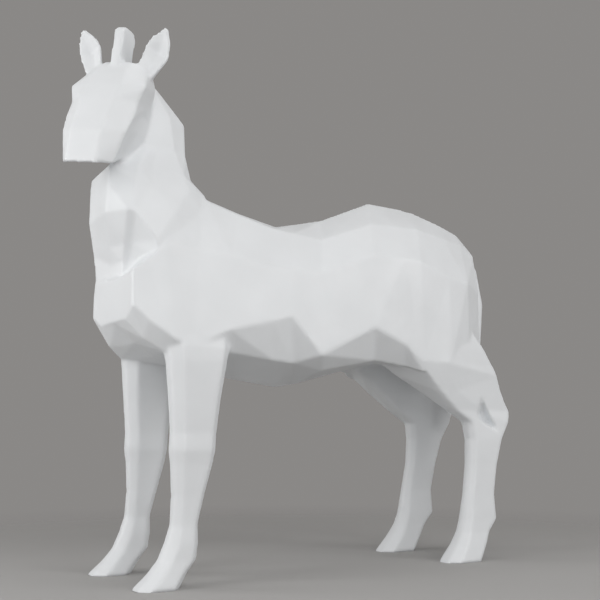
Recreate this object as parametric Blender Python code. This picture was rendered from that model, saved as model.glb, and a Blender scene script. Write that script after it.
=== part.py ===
"""A standing zebra in broad flat facets, cast as one closed shell and painted white.

The figure stands on its own four hooves, faces -Y and turns its head to its own left (+X).
All sizes come from HEIGHT: the figure is laid out in modules, of which its height is MODULES.
The body and legs are the same on both sides; the neck winds to the left as it rises.
"""
from math import cos, radians, sin

import bmesh
import bpy
from mathutils import Matrix, Vector

HEIGHT = 1.68
MODULES = 168.0
M = HEIGHT / MODULES

# Seat of the head's middle, with its turn and its roll to the figure's left, in degrees.
HEAD_SEAT = (3.0, -62.0, 150.0)
HEAD_TURN = 40.0
HEAD_ROLL = 7.0

# Trunk sections, chest to rump: along, how far the section leans forward for each module that it
# goes out to the side, ridge height, then half-width and height of the edge of the back, the
# side, the flank line and the belly line, and the height of the keel.
TRUNK = (
    (-60.3, 0.08, 88.0, 8.0, 88.0, 15.8, 89.5, 16.5, 79.0, 10.0, 75.5, 75.0),
    (-54.0, 0.18, 95.0, 8.0, 95.0, 16.8, 93.0, 19.0, 74.5, 14.0, 69.5, 69.5),
    (-46.0, 0.35, 100.0, 8.0, 100.0, 17.0, 97.5, 20.8, 71.5, 16.5, 66.2, 66.0),
    (-36.0, 0.64, 120.8, 6.5, 118.0, 16.8, 98.0, 21.5, 69.0, 16.5, 66.0, 63.0),
    (-30.4, 0.64, 117.7, 7.0, 115.8, 16.8, 97.5, 21.5, 67.3, 16.5, 66.0, 61.5),
    (-18.6, 0.64, 114.7, 8.0, 112.3, 18.5, 96.0, 21.8, 73.0, 17.0, 66.6, 59.6),
    (-4.2, 0.64, 112.0, 10.5, 108.5, 19.8, 94.2, 22.3, 76.5, 17.5, 65.0, 57.8),
    (3.0, 0.64, 113.8, 11.3, 107.7, 20.3, 93.9, 22.5, 78.5, 17.5, 64.4, 59.0),
    (14.0, 0.64, 116.6, 12.5, 106.5, 21.0, 93.5, 23.4, 66.8, 16.5, 62.6, 62.0),
    (35.0, 0.64, 125.8, 13.5, 114.3, 21.0, 101.9, 22.9, 77.0, 16.0, 66.8, 67.5),
    (48.0, 0.64, 125.4, 13.5, 114.7, 21.4, 101.7, 22.6, 72.0, 18.0, 65.2, 70.5),
    (55.0, 0.64, 124.9, 13.5, 114.8, 21.5, 101.4, 22.4, 66.8, 21.3, 63.3, 72.0),
    (68.0, 0.64, 121.9, 10.5, 113.8, 20.5, 97.5, 22.0, 68.5, 18.0, 66.5, 76.0),
    (77.0, 0.64, 119.0, 8.0, 113.0, 19.3, 96.0, 18.5, 71.5, 11.0, 70.0, 78.0),
    (84.0, 0.64, 113.0, 5.5, 110.0, 12.5, 95.0, 11.5, 77.0, 8.0, 74.0, 80.0),
)

# Sections of the neck's base, bottom to top: height, the far front corner, then side and along
# for the front line, the edge of the groove, the groove's bottom, the side and the back, and
# last where the crest is. Right of the front line the front is one flat plane.
NECK_BASE = (
    (84.0, -15.0, -60.6, -5.5, -60.2, 1.5, -59.6, 3.0, -58.5, 15.6, -53.4, 12.0, -41.0, -37.0),
    (93.5, -16.0, -61.6, -4.0, -60.7, 4.3, -60.0, 5.0, -58.6, 16.2, -53.6, 14.0, -42.0, -36.0),
    (98.5, -16.2, -62.0, -1.2, -62.4, 7.0, -60.8, 7.8, -59.0, 16.6, -54.0, 13.5, -43.3, -37.5),
)

# Neck sections above it, bottom to top: height, middle (side, along), turn, how far the right
# front corner stands ahead of the left one, then half-width and lead ahead of the middle for the
# front, the corner, the fold, the side and the back, and last the distance of the crest
# behind the middle.
NECK = (
    (108.0, -2.4, -50.5, -8.0, 1.2, 9.0, 14.5, 15.9, 9.4, 16.2, 7.3, 15.8, -5.3, 9.5, -17.5, 17.5),
    (117.0, -2.8, -50.5, -8.0, 1.4, 9.6, 14.0, 13.7, 6.8, 12.8, 1.2, 10.9, -11.1, 6.0, -18.0, 17.5),
    (122.5, -3.6, -50.5, -7.0, 0.9, 10.4, 13.8, 12.8, 5.3, 10.9, 0.6, 9.0, -10.1, 4.1, -14.1, 14.6),
    (131.0, -3.0, -50.0, 5.0, 0.0, 4.0, 5.6, 5.9, 3.7, 6.1, 0.5, 6.9, -5.9, 4.5, -11.2, 13.8),
    (142.0, -3.3, -46.5, 15.0, 0.0, 3.5, 9.0, 4.5, 8.0, 5.0, 6.0, 6.0, 0.0, 3.5, -8.0, 11.0),
    (151.5, -4.5, -51.0, 25.0, 0.0, 3.0, 5.0, 4.0, 4.0, 5.0, 2.0, 4.5, -1.0, 3.0, -4.0, 6.5),
    (154.5, -0.5, -57.0, 35.0, 0.0, 2.0, 3.0, 3.0, 2.0, 3.5, 1.0, 3.5, -1.0, 2.0, -2.5, 4.0),
)

# Leg sections, top to bottom: height, front, back, inner side, outer side, lead of the inner
# front corner, how blunt the corners are, and how much of the outer side and of the back the
# cut at the outer back corner takes away.
FORELEG = (
    (84.0, -49.0, -33.0, 9.0, 18.2, 0.0, 1.0, 0.0, 0.0),
    (76.0, -50.2, -31.0, 10.0, 19.8, 0.0, 1.0, 0.0, 0.0),
    (67.5, -51.0, -31.0, 11.0, 21.8, 0.0, 1.0, 0.0, 0.0),
    (63.5, -50.5, -32.0, 12.0, 22.0, 0.0, 1.0, 0.0, 0.0),
    (52.0, -49.5, -34.0, 12.8, 21.5, 0.0, 1.0, 0.0, 0.0),
    (43.0, -48.8, -35.0, 12.8, 21.0, 0.0, 1.0, 0.0, 0.0),
    (38.0, -49.0, -35.3, 12.5, 21.3, 0.0, 1.0, 0.0, 0.0),
    (34.0, -48.5, -36.0, 13.0, 20.6, 0.0, 1.0, 0.0, 0.0),
    (25.0, -48.0, -38.5, 13.5, 20.0, 0.0, 1.0, 0.0, 0.0),
    (17.0, -48.5, -40.5, 13.8, 20.2, 0.0, 1.0, 0.0, 0.0),
    (12.0, -50.0, -40.5, 13.2, 21.0, 0.0, 1.0, 0.0, 0.0),
    (7.5, -52.0, -41.0, 13.2, 21.2, 0.0, 1.0, 0.0, 0.0),
    (4.0, -55.0, -44.0, 12.8, 21.8, 0.0, 1.0, 0.0, 0.0),
    (0.0, -59.5, -46.5, 12.2, 22.8, 0.0, 1.0, 0.0, 0.0),
)
HIND_LEG = (
    (86.0, 38.0, 64.0, 6.0, 18.0, 4.0, 0.1, 0.2, 0.6),
    (73.0, 39.5, 73.4, 8.0, 21.6, 6.0, 0.1, 0.28, 0.6),
    (67.0, 41.8, 77.3, 8.0, 22.3, 9.0, 0.1, 0.3, 0.7),
    (63.5, 42.8, 78.7, 8.6, 21.5, 5.0, 0.1, 0.22, 0.72),
    (57.7, 48.4, 80.6, 10.0, 20.1, 1.2, 0.5, 0.07, 0.75),
    (51.0, 57.5, 84.8, 12.3, 18.8, -0.4, 0.6, 0.0, 0.5),
    (47.0, 64.2, 84.0, 12.8, 19.1, 0.0, 0.8, 0.0, 0.0),
    (41.0, 64.8, 80.5, 13.0, 19.5, 0.0, 1.0, 0.0, 0.0),
    (32.0, 64.2, 77.5, 13.5, 19.5, 0.0, 1.0, 0.0, 0.0),
    (22.0, 62.3, 75.3, 14.0, 20.0, 0.0, 1.0, 0.0, 0.0),
    (13.5, 60.5, 75.8, 13.5, 20.5, 0.0, 1.0, 0.0, 0.0),
    (9.5, 58.9, 72.0, 13.5, 21.0, 0.0, 1.0, 0.0, 0.0),
    (5.5, 56.1, 70.0, 13.2, 22.0, 0.0, 1.0, 0.0, 0.0),
    (0.0, 51.0, 66.7, 12.5, 23.2, 0.0, 1.0, 0.0, 0.0),
)
LEG_CORNER = 0.3

# The hollow before the hock's tendon: the depths of its mouth and its end, measured as half-widths
# of the figure, and the outline at each, as along and height.
HOLLOW_MOUTH_AT = 19.0
HOLLOW_END_AT = 15.6
HOLLOW_MOUTH = ((70.0, 57.0), (67.3, 50.0), (70.9, 46.6), (78.0, 42.4), (74.4, 48.5))
HOLLOW_END = ((72.7, 52.5), (72.3, 50.0), (73.4, 47.4), (76.4, 44.6), (74.2, 49.0))

# Head sections, crown to chin, in the head's own frame: half-width, lead and rise of the nose
# line, the brow and cheek line, the side line and the jaw line.
HEAD = (
    (4.0, 3.0, 5.4, 8.5, 1.0, 4.6, 8.0, -5.0, 4.0, 4.0, -10.0, 3.0),
    (5.0, 6.5, 1.0, 10.8, 3.0, 1.0, 9.8, -5.0, -1.0, 5.0, -11.0, -3.0),
    (5.8, 9.6, -4.2, 12.8, 6.8, -4.0, 10.3, -2.5, -4.5, 6.5, -10.0, -6.5),
    (5.8, 11.8, -9.5, 11.3, 7.4, -9.2, 9.9, -1.0, -8.5, 7.4, -8.5, -9.0),
    (5.5, 13.2, -14.5, 11.6, 8.8, -14.2, 9.2, 0.8, -12.2, 8.0, -7.1, -10.0),
    (5.5, 15.0, -20.0, 10.9, 10.6, -18.9, 8.5, -0.2, -16.1, 7.0, -10.5, -16.4),
    (5.0, 15.5, -30.2, 8.4, 11.7, -29.5, 6.2, 3.9, -26.0, 6.5, -3.6, -24.0),
)

# Ear sections, base to tip, in the head's frame: half-width, lead and rise of the inner edge,
# the fold, the outer edge and the back. The rim is as thick as EAR_RIM.
EAR = (
    (5.6, 2.4, 2.0, 8.4, 1.2, 1.4, 11.0, 1.7, 0.4, 8.6, -3.6, 1.2),
    (7.8, 1.9, 11.0, 11.6, -0.4, 9.2, 15.3, 0.3, 7.2, 11.6, -3.8, 9.0),
    (9.4, 2.4, 13.3, 12.9, 1.2, 12.3, 16.0, 1.5, 11.0, 13.0, -1.8, 12.2),
    (13.8, 3.0, 16.2, 14.4, 2.7, 16.4, 15.0, 2.7, 16.1, 14.4, 0.8, 16.3),
)
EAR_RIM = 0.9

# The upright stub of mane between the ears, in the head's frame.
TUFT_HALF_WIDTH = 1.7
TUFT_FRONT = 5.0
TUFT_BACK = -2.8
TUFT_FOOT = 2.0
TUFT_TOP = 16.4
TUFT_ROUND = 2.2

# Tail sections, dock to end: height, front, back, half-width.
TAIL = (
    (113.5, 74.0, 80.0, 3.0),
    (105.0, 76.0, 85.0, 4.2),
    (92.0, 78.0, 87.5, 4.6),
    (76.0, 78.0, 86.0, 4.2),
    (62.0, 79.0, 86.5, 4.6),
    (50.0, 81.0, 85.5, 2.6),
)
TAIL_CORNER = 0.45


def make_object(name, bm):
    """Write a bmesh in modules to a new mesh object in metres."""
    bmesh.ops.scale(bm, vec=(M, M, M), verts=bm.verts)
    bmesh.ops.recalc_face_normals(bm, faces=bm.faces)
    mesh = bpy.data.meshes.new(name)
    bm.to_mesh(mesh)
    bm.free()
    return bpy.data.objects.new(name, mesh)


def loft(name, rings):
    """Skin a row of rings with equal point counts, fold each facet outward and close the ends."""
    bm = bmesh.new()
    rows = [[bm.verts.new(p) for p in ring] for ring in rings]
    middles = [sum((v.co for v in row), Vector()) / len(row) for row in rows]
    count = len(rows[0])
    for i in range(len(rows) - 1):
        middle = (middles[i] + middles[i + 1]) / 2
        for j in range(count):
            k = (j + 1) % count
            a, b, c, d = rows[i][j], rows[i][k], rows[i + 1][k], rows[i + 1][j]
            out = (a.co + b.co + c.co + d.co) / 4 - middle
            if (a.co + c.co - b.co - d.co).dot(out) > 0:
                bm.faces.new((a, b, c))
                bm.faces.new((a, c, d))
            else:
                bm.faces.new((b, c, d))
                bm.faces.new((b, d, a))
    for row in (rows[0], rows[-1]):
        cap = bm.faces.new(row)
        bmesh.ops.triangulate(bm, faces=[cap])
    return make_object(name, bm)


def mirrored(half):
    """The other side of a row of points, in backward order."""
    return [(-p[0],) + tuple(p[1:]) for p in reversed(half)]


def trunk_ring(y, lean, ridge, *lines):
    """One body section: the ridge, the left side going down, the keel and the right side."""
    half = [(lines[i], y - lean * lines[i], lines[i + 1]) for i in range(0, 8, 2)]
    return [(0.0, y, ridge)] + half + [(0.0, y, lines[8])] + mirrored(half)


def base_ring(z, far_x, far_y, *lines):
    """One level section of the neck's base, with one flat plane right of the front line."""
    left = [Vector((lines[i], lines[i + 1], z)) for i in range(0, 10, 2)]
    far = Vector((far_x, far_y, z))
    back, side = [Vector(p) for p in mirrored(left[3:])]
    right = [side.lerp(far, step / 3) for step in range(4)]
    return left + [(0.0, lines[10], z), back] + right


def neck_ring(z, cx, cy, turn, ahead, *lines):
    """One level section of the neck, wound to the left by turn, with its right front ahead."""
    half = [(lines[i], -lines[i + 1]) for i in range(0, 10, 2)]
    plan = half + [(0.0, lines[10])] + mirrored(half)
    plan[-1] = (-lines[0], -lines[1] - ahead)
    c, s = cos(radians(turn)), sin(radians(turn))
    return [(cx + c * x - s * y, cy + s * x + c * y, z) for x, y in plan]


def leg_ring(z, front, back, inner, outer, lead, blunt, cut_back, cut_side):
    """One level section of a leg: a block with its corners cut off."""
    cut = LEG_CORNER * blunt * min(back - front, outer - inner)
    flat_x, flat_y = outer - inner - 2 * cut, back - front - 2 * cut
    return [(inner + cut, front - lead, z), (outer - cut, front, z),
            (outer, front + cut, z), (outer, back - cut - cut_side * flat_y, z),
            (outer - cut - cut_back * flat_x, back, z), (inner + cut, back, z),
            (inner, back - cut, z), (inner, front + cut - lead, z)]


def on_head(lines):
    """Points of one half of a head section, from triples of half-width, lead and rise."""
    return [(lines[i], -lines[i + 1], lines[i + 2]) for i in range(0, len(lines), 3)]


def ear_ring(inner, fold, outer, back):
    """One section of the left ear: a shallow trough with a blunt rim."""
    rim = Vector((0.0, EAR_RIM, 0.0))
    return [inner, fold, outer, Vector(outer) + rim, back, Vector(inner) + rim]


def tuft_ring(x):
    """Side outline of the mane stub, with both top corners rounded off."""
    front, back = -TUFT_FRONT, -TUFT_BACK
    outline = [(x, front, TUFT_FOOT), (x, back, TUFT_FOOT)]
    for corner, start in ((back - TUFT_ROUND, 0), (front + TUFT_ROUND, 90)):
        for step in (0, 30, 60, 90):
            angle = radians(start + step)
            outline.append((x, corner + TUFT_ROUND * cos(angle),
                            TUFT_TOP - TUFT_ROUND + TUFT_ROUND * sin(angle)))
    return outline


def head_parts():
    """Skull, ears and mane stub, seated on the neck with the head's turn and roll."""
    skull = [on_head(row) for row in HEAD]
    parts = [loft("skull", [half + mirrored(half) for half in skull])]
    for side, word in ((1, "left"), (-1, "right")):
        rings = [[(side * x, y, z) for x, y, z in ear_ring(*on_head(row))] for row in EAR]
        parts.append(loft("ear_" + word, rings))
    parts.append(loft("tuft", [tuft_ring(x) for x in (-TUFT_HALF_WIDTH, TUFT_HALF_WIDTH)]))
    place = Matrix.Translation(Vector(HEAD_SEAT) * M)
    place = place @ Matrix.Rotation(radians(HEAD_TURN), 4, "Z")
    place = place @ Matrix.Rotation(radians(HEAD_ROLL), 4, "Y")
    for part in parts:
        part.data.transform(place)
    return parts


def leg_parts():
    """Both forelegs and both hind legs."""
    parts = []
    for side, word in ((1, "left"), (-1, "right")):
        for kind, rows in (("fore_", FORELEG), ("hind_", HIND_LEG)):
            rings = [[(side * x, y, z) for x, y, z in leg_ring(*row)] for row in rows]
            parts.append(loft(kind + word, rings))
    return parts


def tail_ring(z, front, back, half):
    """One level section of the tail: a block with its back corners cut off."""
    cut = half * TAIL_CORNER
    side = [(half, front, z), (half, back - cut, z), (half - cut, back, z)]
    return side + mirrored(side)


def hollow_parts():
    """Cutters for the hollow of each hock, reaching as far outside the leg as they reach in."""
    deep = HOLLOW_MOUTH_AT - HOLLOW_END_AT
    parts = []
    for side, word in ((1, "left"), (-1, "right")):
        end = [(side * HOLLOW_END_AT, y, z) for y, z in HOLLOW_END]
        mouth = [(side * (HOLLOW_MOUTH_AT + deep), 2 * my - ey, 2 * mz - ez)
                 for (my, mz), (ey, ez) in zip(HOLLOW_MOUTH, HOLLOW_END)]
        parts.append(loft("hollow_" + word, [end, mouth]))
    return parts


def unite(name, pieces, cutters):
    """Join closed pieces into one shell by exact Booleans, cut it, and return a plain mesh."""
    body = pieces[0]
    for piece in pieces + cutters:
        bpy.context.scene.collection.objects.link(piece)
    for piece in pieces[1:] + cutters:
        step = body.modifiers.new(piece.name, "BOOLEAN")
        step.operation = "DIFFERENCE" if piece in cutters else "UNION"
        step.solver = "EXACT"
        step.object = piece
    bpy.context.view_layer.update()
    graph = bpy.context.evaluated_depsgraph_get()
    mesh = bpy.data.meshes.new_from_object(body.evaluated_get(graph))
    mesh.name = name
    for piece in pieces + cutters:
        bpy.data.objects.remove(piece)
    return bpy.data.objects.new(name, mesh)


def set_down(obj):
    """Move the mesh so that the origin is under the middle of its box, at the soles."""
    corners = [v.co for v in obj.data.vertices]
    low = [min(p[i] for p in corners) for i in range(3)]
    high = [max(p[i] for p in corners) for i in range(3)]
    home = Vector((low[0] + high[0], low[1] + high[1], 2 * low[2])) / 2
    obj.data.transform(Matrix.Translation(-home))


def painted():
    """White paint with a matt to satin surface."""
    material = bpy.data.materials.new("painted_white")
    material.use_nodes = True
    shader = material.node_tree.nodes["Principled BSDF"]
    shader.inputs["Base Color"].default_value = (0.80, 0.80, 0.80, 1.0)
    shader.inputs["Roughness"].default_value = 0.45
    return material


def build():
    """Make the whole figure as one closed shell."""
    for obj in list(bpy.data.objects):
        bpy.data.objects.remove(obj)
    pieces = [loft("trunk", [trunk_ring(*row) for row in TRUNK])]
    rings = [base_ring(*row) for row in NECK_BASE] + [neck_ring(*row) for row in NECK]
    pieces.append(loft("neck", rings))
    pieces.append(loft("tail", [tail_ring(*row) for row in TAIL]))
    figure = unite("zebra", pieces + leg_parts() + head_parts(), hollow_parts())
    set_down(figure)
    return figure


zebra = build()
home = bpy.data.collections.new("zebra")
bpy.context.scene.collection.children.link(home)
home.objects.link(zebra)
zebra.data.materials.clear()
zebra.data.materials.append(painted())
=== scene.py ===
"""A life-size standing zebra in faceted, white-painted fibreglass, dressed and lit for a studio view.

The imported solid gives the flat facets. This script rounds their edges as hand sanding does, gives
the surface its slight unevenness, paints it, and sets the figure on a plain floor in soft light.
"""

import logging
import math
from dataclasses import dataclass, field
from enum import Enum

import bmesh
import bpy
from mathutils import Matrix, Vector


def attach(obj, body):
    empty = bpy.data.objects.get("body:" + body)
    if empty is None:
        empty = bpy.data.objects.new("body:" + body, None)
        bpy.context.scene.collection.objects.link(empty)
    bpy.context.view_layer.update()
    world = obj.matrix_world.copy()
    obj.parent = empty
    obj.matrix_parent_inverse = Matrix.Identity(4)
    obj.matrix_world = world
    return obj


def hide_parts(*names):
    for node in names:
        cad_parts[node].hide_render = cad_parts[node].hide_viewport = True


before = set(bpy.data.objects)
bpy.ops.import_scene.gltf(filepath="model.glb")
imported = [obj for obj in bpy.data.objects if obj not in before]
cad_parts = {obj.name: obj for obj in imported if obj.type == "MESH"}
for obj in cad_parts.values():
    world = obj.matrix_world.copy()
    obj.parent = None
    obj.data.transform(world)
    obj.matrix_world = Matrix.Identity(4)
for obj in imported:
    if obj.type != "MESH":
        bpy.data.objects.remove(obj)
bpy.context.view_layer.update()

log = logging.getLogger("zebra")

# The picture is square, so one field of view serves both ways. The focal length is in pixels.
PHOTO_SIDE = 600
PHOTO_FOCAL = 914.0
SENSOR = 36.0

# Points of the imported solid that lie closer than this, in metres, are one point.
SAME_POINT = 0.00005


class Node(str, Enum):
    """The part's single CAD node and the body that carries it."""

    SHELL = "zebra"
    BODY = "root"
    SLOT = "painted_white"


@dataclass(frozen=True)
class Gelcoat:
    """White gelcoat paint over fibreglass: matt to satin, faintly uneven, a little dull in places."""

    colour: tuple[float, float, float] = (0.79, 0.81, 0.828)
    shade: tuple[float, float, float] = (0.74, 0.758, 0.775)
    tone_range: tuple[float, float] = (0.55, 1.0)
    roughness: tuple[float, float] = (0.42, 0.58)
    coat: float = 0.12
    coat_roughness: float = 0.3
    noise_middle: tuple[float, float] = (0.35, 0.65)
    mottle_size: float = 0.16
    dull_size: float = 0.096
    ripple_size: float = 0.045
    grain_size: float = 0.0045
    ripple_height: float = 0.0006
    grain_height: float = 0.00006

    def noise(self, tree: bpy.types.NodeTree, size: float, detail: float) -> bpy.types.NodeSocket:
        """Add a noise in object coordinates.

        Args:
            tree: the material's node tree.
            size: the width of one blotch, in metres.
            detail: how many finer layers lie over the first.

        Returns:
            The noise's factor socket.
        """
        nodes = tree.nodes
        place = nodes.new("ShaderNodeTexCoord")
        pattern = nodes.new("ShaderNodeTexNoise")
        pattern.inputs["Scale"].default_value = 1.0 / size
        pattern.inputs["Detail"].default_value = detail
        tree.links.new(place.outputs["Object"], pattern.inputs["Vector"])
        return pattern.outputs["Fac"]

    def between(self, tree: bpy.types.NodeTree, source: bpy.types.NodeSocket,
                low: float, high: float) -> bpy.types.NodeSocket:
        """Spread the middle of a noise over a range of values.

        Args:
            tree: the material's node tree.
            source: the noise's factor socket.
            low: the value at the noise's low end.
            high: the value at its high end.

        Returns:
            The socket that gives the value.
        """
        spread = tree.nodes.new("ShaderNodeMapRange")
        spread.inputs["From Min"].default_value = self.noise_middle[0]
        spread.inputs["From Max"].default_value = self.noise_middle[1]
        spread.inputs["To Min"].default_value = low
        spread.inputs["To Max"].default_value = high
        tree.links.new(source, spread.inputs["Value"])
        return spread.outputs["Result"]

    def relief(self, tree: bpy.types.NodeTree, size: float, height: float) -> bpy.types.Node:
        """Add a low relief.

        Args:
            tree: the material's node tree.
            size: the width of one hump, in metres.
            height: the height of the humps, in metres.

        Returns:
            The bump node.
        """
        bump = tree.nodes.new("ShaderNodeBump")
        bump.inputs["Distance"].default_value = height
        tree.links.new(self.noise(tree, size, 2.0), bump.inputs["Height"])
        return bump

    def material(self) -> bpy.types.Material:
        """Build the paint.

        Returns:
            A material whose tone, gloss and relief vary in object coordinates.
        """
        paint = bpy.data.materials.new("white gelcoat")
        paint.use_nodes = True
        tree = paint.node_tree
        shader = tree.nodes["Principled BSDF"]
        shader.inputs["Coat Weight"].default_value = self.coat
        shader.inputs["Coat Roughness"].default_value = self.coat_roughness

        tone = tree.nodes.new("ShaderNodeMix")
        tone.data_type = "RGBA"
        tone.inputs["A"].default_value = (*self.shade, 1.0)
        tone.inputs["B"].default_value = (*self.colour, 1.0)
        mottle = self.noise(tree, self.mottle_size, 4.0)
        tree.links.new(self.between(tree, mottle, *self.tone_range), tone.inputs["Factor"])
        tree.links.new(tone.outputs["Result"], shader.inputs["Base Color"])

        dull = self.noise(tree, self.dull_size, 3.0)
        tree.links.new(self.between(tree, dull, *self.roughness), shader.inputs["Roughness"])

        ripple = self.relief(tree, self.ripple_size, self.ripple_height)
        grain = self.relief(tree, self.grain_size, self.grain_height)
        tree.links.new(ripple.outputs["Normal"], grain.inputs["Normal"])
        tree.links.new(grain.outputs["Normal"], shader.inputs["Normal"])
        return paint


@dataclass
class Shell:
    """The cast shell: flat facets that meet in softly rounded edges, dressed by hand.

    Lengths and heights are in metres. The thin ears and mane stand above thin_above.
    """

    voxel: float = 0.0062
    kept_share: float = 0.64
    edge_passes: int = 1
    thin_above: float = 1.575
    thin_share: float = 0.3
    sole: float = 0.004
    wave_size: float = 0.11
    wave_height: float = 0.0011
    seed: float = 7.0
    finish: Gelcoat = field(default_factory=Gelcoat)

    def body(self) -> bpy.types.Object:
        """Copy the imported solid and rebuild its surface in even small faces.

        Returns:
            A closed object with the facets of the solid.
        """
        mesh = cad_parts[Node.SHELL.value].data.copy()
        mesh.name = "zebra_shell"
        merged = bmesh.new()
        merged.from_mesh(mesh)
        bmesh.ops.remove_doubles(merged, verts=merged.verts, dist=SAME_POINT)
        merged.to_mesh(mesh)
        merged.free()
        mesh.materials.clear()
        shell = bpy.data.objects.new("zebra_shell", mesh)
        bpy.context.scene.collection.objects.link(shell)
        even = shell.modifiers.new("even faces", "REMESH")
        even.mode = "VOXEL"
        even.voxel_size = self.voxel
        even.adaptivity = 0.0
        return shell

    def add_inputs(self, tree: bpy.types.NodeTree) -> None:
        """Give the hand finish its sockets.

        Args:
            tree: the tree that gets them.
        """
        face = tree.interface
        face.new_socket("Geometry", in_out="INPUT", socket_type="NodeSocketGeometry")
        passes = face.new_socket("Sanding passes", in_out="INPUT", socket_type="NodeSocketInt")
        passes.default_value = self.edge_passes
        for name, value in (("Thin above", self.thin_above), ("Thin share", self.thin_share),
                            ("Wave size", self.wave_size), ("Wave height", self.wave_height),
                            ("Seed", self.seed)):
            socket = face.new_socket(name, in_out="INPUT", socket_type="NodeSocketFloat")
            socket.default_value = value
        face.new_socket("Geometry", in_out="OUTPUT", socket_type="NodeSocketGeometry")

    def add_sanding(self, tree: bpy.types.NodeTree, given: bpy.types.Node) -> bpy.types.Node:
        """Round the edges, more gently on the thin ears and mane above a given height.

        Args:
            tree: the tree of the hand finish.
            given: its input node.

        Returns:
            The node that gives the sanded surface.
        """
        add = tree.nodes.new
        link = tree.links.new
        place = add("GeometryNodeInputPosition")
        height = add("ShaderNodeSeparateXYZ")
        link(place.outputs["Position"], height.inputs["Vector"])
        thin = add("FunctionNodeCompare")
        thin.operation = "GREATER_THAN"
        link(height.outputs["Z"], thin.inputs["A"])
        link(given.outputs["Thin above"], thin.inputs["B"])
        share = add("GeometryNodeSwitch")
        share.input_type = "FLOAT"
        share.inputs["False"].default_value = 1.0
        link(thin.outputs["Result"], share.inputs["Switch"])
        link(given.outputs["Thin share"], share.inputs["True"])
        sanded = add("GeometryNodeBlurAttribute")
        sanded.data_type = "FLOAT_VECTOR"
        link(place.outputs["Position"], sanded.inputs["Value"])
        link(given.outputs["Sanding passes"], sanded.inputs["Iterations"])
        link(share.outputs["Output"], sanded.inputs["Weight"])
        sand = add("GeometryNodeSetPosition")
        link(given.outputs["Geometry"], sand.inputs["Geometry"])
        link(sanded.outputs["Value"], sand.inputs["Position"])
        return sand

    def add_waves(self, tree: bpy.types.NodeTree, given: bpy.types.Node,
                  sand: bpy.types.Node) -> bpy.types.Node:
        """Give the surface low waves, which only sink it, so that the shell stays inside its box.

        Args:
            tree: the tree of the hand finish.
            given: its input node.
            sand: the node that gives the sanded surface.

        Returns:
            The node that gives the uneven surface.
        """
        add = tree.nodes.new
        link = tree.links.new
        place = add("GeometryNodeInputPosition")
        outward = add("GeometryNodeInputNormal")
        wave = add("ShaderNodeTexNoise")
        wave.noise_dimensions = "4D"
        wave.inputs["Detail"].default_value = 1.0
        per_metre = add("ShaderNodeMath")
        per_metre.operation = "DIVIDE"
        per_metre.inputs[0].default_value = 1.0
        link(given.outputs["Wave size"], per_metre.inputs[1])
        link(place.outputs["Position"], wave.inputs["Vector"])
        link(per_metre.outputs["Value"], wave.inputs["Scale"])
        link(given.outputs["Seed"], wave.inputs["W"])
        sink = add("ShaderNodeMath")
        sink.operation = "SUBTRACT"
        sink.inputs[1].default_value = 1.0
        link(wave.outputs["Fac"], sink.inputs[0])
        depth = add("ShaderNodeMath")
        depth.operation = "MULTIPLY"
        link(sink.outputs["Value"], depth.inputs[0])
        link(given.outputs["Wave height"], depth.inputs[1])
        shift = add("ShaderNodeVectorMath")
        shift.operation = "SCALE"
        link(outward.outputs["Normal"], shift.inputs["Vector"])
        link(depth.outputs["Value"], shift.inputs["Scale"])
        move = add("GeometryNodeSetPosition")
        link(sand.outputs["Geometry"], move.inputs["Geometry"])
        link(shift.outputs["Vector"], move.inputs["Offset"])
        return move

    def hand_finish(self, paint: bpy.types.Material) -> bpy.types.NodeTree:
        """Make the node tree that sands the edges and gives the surface its low waves and its paint.

        Args:
            paint: the finish of every face.

        Returns:
            The tree, with inputs for the sanding, the waves and their seed.
        """
        tree = bpy.data.node_groups.new("hand finish", "GeometryNodeTree")
        self.add_inputs(tree)
        add = tree.nodes.new
        link = tree.links.new
        given = add("NodeGroupInput")
        uneven = self.add_waves(tree, given, self.add_sanding(tree, given))
        smooth = add("GeometryNodeSetShadeSmooth")
        link(uneven.outputs["Geometry"], smooth.inputs["Geometry"])
        real = add("GeometryNodeRealizeInstances")
        link(smooth.outputs["Geometry"], real.inputs["Geometry"])
        painted = add("GeometryNodeSetMaterial")
        painted.inputs["Material"].default_value = paint
        link(real.outputs["Geometry"], painted.inputs["Geometry"])
        made = add("NodeGroupOutput")
        link(painted.outputs["Geometry"], made.inputs["Geometry"])
        return tree

    def level_soles(self, mesh: bpy.types.Mesh) -> None:
        """Put the lowest points on the ground, so that the hooves stand flat.

        Args:
            mesh: the finished shell.
        """
        for point in mesh.vertices:
            if point.co.z < self.sole:
                point.co.z = 0.0

    def drop_specks(self, mesh: bpy.types.Mesh) -> None:
        """Take out the specks that even faces can leave inside a narrow crease.

        Args:
            mesh: the finished shell, which stays as its one largest piece.
        """
        shape = bmesh.new()
        shape.from_mesh(mesh)
        waiting = set(shape.verts)
        pieces: list[set[bmesh.types.BMVert]] = []
        while waiting:
            ahead = [waiting.pop()]
            piece = set(ahead)
            while ahead:
                point = ahead.pop()
                near = {edge.other_vert(point) for edge in point.link_edges} & waiting
                waiting -= near
                piece |= near
                ahead.extend(near)
            pieces.append(piece)
        pieces.sort(key=len)
        specks = [point for piece in pieces[:-1] for point in piece]
        bmesh.ops.delete(shape, geom=specks, context="VERTS")
        shape.to_mesh(mesh)
        shape.free()

    def build(self) -> bpy.types.Object:
        """Make the shell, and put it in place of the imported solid.

        Returns:
            The finished piece.
        """
        paint = self.finish.material()
        shell = self.body()
        dress = shell.modifiers.new("hand finish", "NODES")
        dress.node_group = self.hand_finish(paint)
        for item in dress.node_group.interface.items_tree:
            if item.in_out == "INPUT" and item.socket_type != "NodeSocketGeometry":
                dress[item.identifier] = item.default_value
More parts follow.
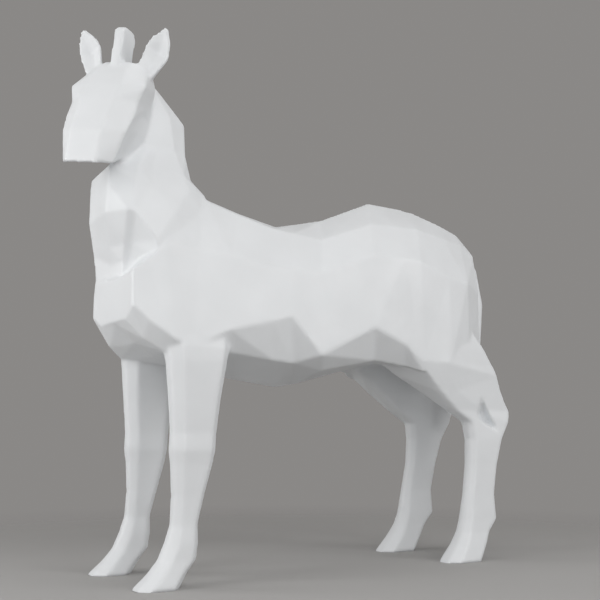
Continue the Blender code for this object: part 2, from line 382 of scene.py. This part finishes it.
        # The flat middles of the facets need fewer faces than their rounded edges.
        fewer = shell.modifiers.new("fewer faces", "DECIMATE")
        fewer.ratio = self.kept_share
        bpy.context.view_layer.update()
        graph = bpy.context.evaluated_depsgraph_get()
        mesh = bpy.data.meshes.new_from_object(shell.evaluated_get(graph))
        shell.modifiers.clear()
        shell.data = mesh
        self.drop_specks(mesh)
        self.level_soles(mesh)
        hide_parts(Node.SHELL.value)
        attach(shell, Node.BODY.value)
        return shell


@dataclass(frozen=True)
class Softbox:
    """One soft square light that faces the figure's middle."""

    name: str
    place: tuple[float, float, float]
    side: float
    power: float
    aim: tuple[float, float, float] = (0.0, 0.0, 0.9)

    def hang(self) -> bpy.types.Object:
        """Hang the light in its place.

        Returns:
            The light.
        """
        data = bpy.data.lights.new(self.name, "AREA")
        data.shape = "SQUARE"
        data.size = self.side
        data.energy = self.power
        lamp = bpy.data.objects.new(self.name, data)
        bpy.context.scene.collection.objects.link(lamp)
        lamp.location = self.place
        look = Vector(self.aim) - Vector(self.place)
        lamp.rotation_euler = look.to_track_quat("-Z", "Y").to_euler()
        return lamp


@dataclass
class Studio:
    """The plain floor, the soft lights and the camera, which stands low at the figure's front left.

    The camera's heading and tilt are in degrees. The floor fades out between two distances, in metres.
    """

    eye: tuple[float, float, float] = (2.593, -1.636, 0.41)
    heading: float = 57.51
    tilt: float = 8.66
    floor_side: float = 14.0
    floor_tone: tuple[float, float, float] = (0.40, 0.394, 0.387)
    floor_roughness: float = 0.9
    floor_fade: tuple[float, float] = (0.9, 3.0)
    room_tone: tuple[float, float, float] = (0.255, 0.247, 0.24)
    lights: tuple[Softbox, ...] = (
        Softbox("front low", (0.2, -3.5, 0.7), 1.6, 10.5),
        Softbox("front", (0.2, -3.3, 1.8), 1.6, 25.0),
        Softbox("far front", (-2.2, -3.2, 1.6), 1.6, 30.5),
        Softbox("side", (4.0, 0.2, 2.2), 2.0, 27.0),
        Softbox("side high", (3.0, 0.2, 3.8), 2.0, 20.0),
        Softbox("rear", (3.3, 2.6, 2.4), 2.0, 43.0),
        Softbox("near front", (3.0, -2.2, 1.2), 1.6, 22.5),
        Softbox("top", (0.0, 0.0, 4.6), 2.4, 20.0),
    )

    def camera(self) -> bpy.types.Object:
        """Place the camera.

        Returns:
            The scene's camera.
        """
        data = bpy.data.cameras.new("view")
        data.sensor_width = SENSOR
        data.lens = SENSOR * PHOTO_FOCAL / PHOTO_SIDE
        data.clip_end = 200.0
        view = bpy.data.objects.new("view", data)
        bpy.context.scene.collection.objects.link(view)
        view.location = self.eye
        view.rotation_euler = (math.radians(90.0 + self.tilt), 0.0, math.radians(self.heading))
        bpy.context.scene.camera = view
        return view

    def floor_finish(self) -> bpy.types.Material:
        """Make the floor's finish.

        Returns:
            A plain pale material that fades into the room's grey away from the figure.
        """
        plain = bpy.data.materials.new("pale floor")
        plain.use_nodes = True
        tree = plain.node_tree
        shader = tree.nodes["Principled BSDF"]
        shader.inputs["Base Color"].default_value = (*self.floor_tone, 1.0)
        shader.inputs["Roughness"].default_value = self.floor_roughness
        place = tree.nodes.new("ShaderNodeTexCoord")
        reach = tree.nodes.new("ShaderNodeVectorMath")
        reach.operation = "LENGTH"
        fade = tree.nodes.new("ShaderNodeMapRange")
        fade.interpolation_type = "SMOOTHSTEP"
        fade.inputs["From Min"].default_value = self.floor_fade[0]
        fade.inputs["From Max"].default_value = self.floor_fade[1]
        fade.inputs["To Min"].default_value = 1.0
        fade.inputs["To Max"].default_value = 0.0
        tree.links.new(place.outputs["Object"], reach.inputs[0])
        tree.links.new(reach.outputs["Value"], fade.inputs["Value"])
        tree.links.new(fade.outputs["Result"], shader.inputs["Alpha"])
        return plain

    def floor(self) -> bpy.types.Object:
        """Lay the floor.

        Returns:
            A square plane at ground level.
        """
        half = self.floor_side / 2
        sheet = bmesh.new()
        corners = [sheet.verts.new((x * half, y * half, 0.0))
                   for x, y in ((-1, -1), (1, -1), (1, 1), (-1, 1))]
        sheet.faces.new(corners)
        mesh = bpy.data.meshes.new("floor")
        sheet.to_mesh(mesh)
        sheet.free()
        mesh.materials.append(self.floor_finish())
        floor = bpy.data.objects.new("floor", mesh)
        bpy.context.scene.collection.objects.link(floor)
        return floor

    def world(self) -> bpy.types.World:
        """Fill the room with an even grey light.

        Returns:
            The scene's world.
        """
        room = bpy.data.worlds.new("room")
        room.use_nodes = True
        background = room.node_tree.nodes["Background"]
        background.inputs["Color"].default_value = (*self.room_tone, 1.0)
        background.inputs["Strength"].default_value = 1.0
        bpy.context.scene.world = room
        return room

    def build(self) -> bpy.types.Object:
        """Set the studio up.

        Returns:
            The camera.
        """
        view = self.camera()
        self.floor()
        for light in self.lights:
            light.hang()
        self.world()
        bpy.context.scene.view_settings.view_transform = "Standard"
        return view


def main() -> None:
    """Build the figure and its studio."""
    logging.basicConfig(level=logging.INFO, format="%(message)s")
    shell = Shell().build()
    shell.data.calc_loop_triangles()
    log.info("%s: %d triangles", shell.name, len(shell.data.loop_triangles))
    Studio().build()


if __name__ == "__main__":
    main()
